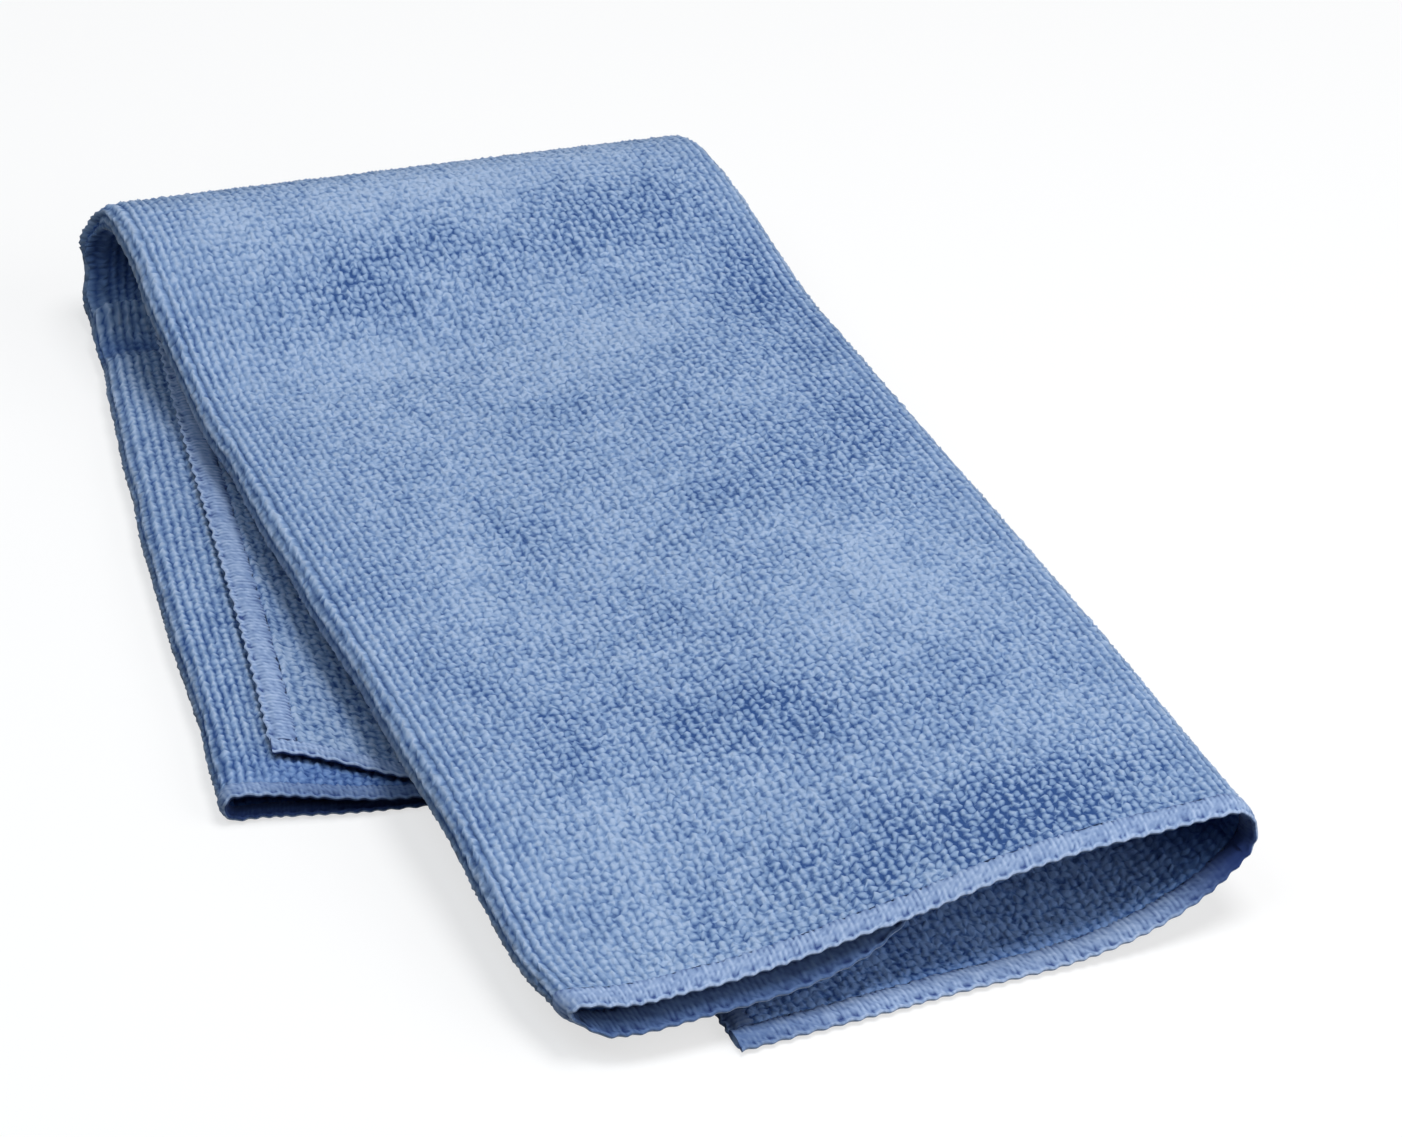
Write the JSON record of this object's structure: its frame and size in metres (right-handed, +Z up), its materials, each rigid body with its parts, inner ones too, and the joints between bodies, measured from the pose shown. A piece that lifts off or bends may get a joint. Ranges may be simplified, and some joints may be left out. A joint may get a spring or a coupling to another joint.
{
  "type": "folded detailing cloth",
  "caption": "Terry microfibre cloth with an overlocked hem, folded in three lengthwise and once across, for wiping and buffing car paint; the upper half swings open.",
  "frame": {"origin": "middle of the flat underside of the base layer, which the cloth rests on", "axes": "+Z up, +Y along the upper half towards the cross fold, +X towards its right long fold"},
  "size_m": [0.1559, 0.2405, 0.03],
  "materials": {
    "terry_pile": "looped microfibre pile in rows along the strip",
    "hem_thread": "overlock stitching in a slightly lighter thread"
  },
  "bodies": {
    "lower_half": {"cross_fold_top_layer": "terry_pile", "cross_fold_left_edge": "terry_pile", "cross_fold_inner_flap": "terry_pile", "cross_fold_right_edge": "terry_pile", "cross_fold_outer_flap": "terry_pile", "lower_base_layer": "terry_pile", "lower_left_fold": "terry_pile", "lower_inner_flap": "terry_pile", "lower_right_fold": "terry_pile", "lower_outer_flap": "terry_pile", "cross_fold_inner_hem": "hem_thread", "cross_fold_outer_hem": "hem_thread", "lower_end_hem": "hem_thread", "lower_inner_hem": "hem_thread", "lower_outer_hem": "hem_thread"},
    "upper_half": {"upper_top_layer": "terry_pile", "upper_left_fold": "terry_pile", "upper_inner_flap": "terry_pile", "upper_right_fold": "terry_pile", "upper_outer_flap": "terry_pile", "upper_end_hem": "hem_thread", "upper_inner_hem": "hem_thread", "upper_outer_hem": "hem_thread"}
  },
  "joints": [
    {"name": "unfold", "type": "hinge", "parent": "lower_half", "child": "upper_half", "pos_m": [-0.03713, 0.08642, 0.015], "axis": [-0.9957, 0.0924, 0], "range_deg": [0, 180], "deforming": ["cross_fold_top_layer", "cross_fold_left_edge", "cross_fold_inner_flap", "cross_fold_right_edge", "cross_fold_outer_flap", "cross_fold_inner_hem", "cross_fold_outer_hem"]}
  ]
}
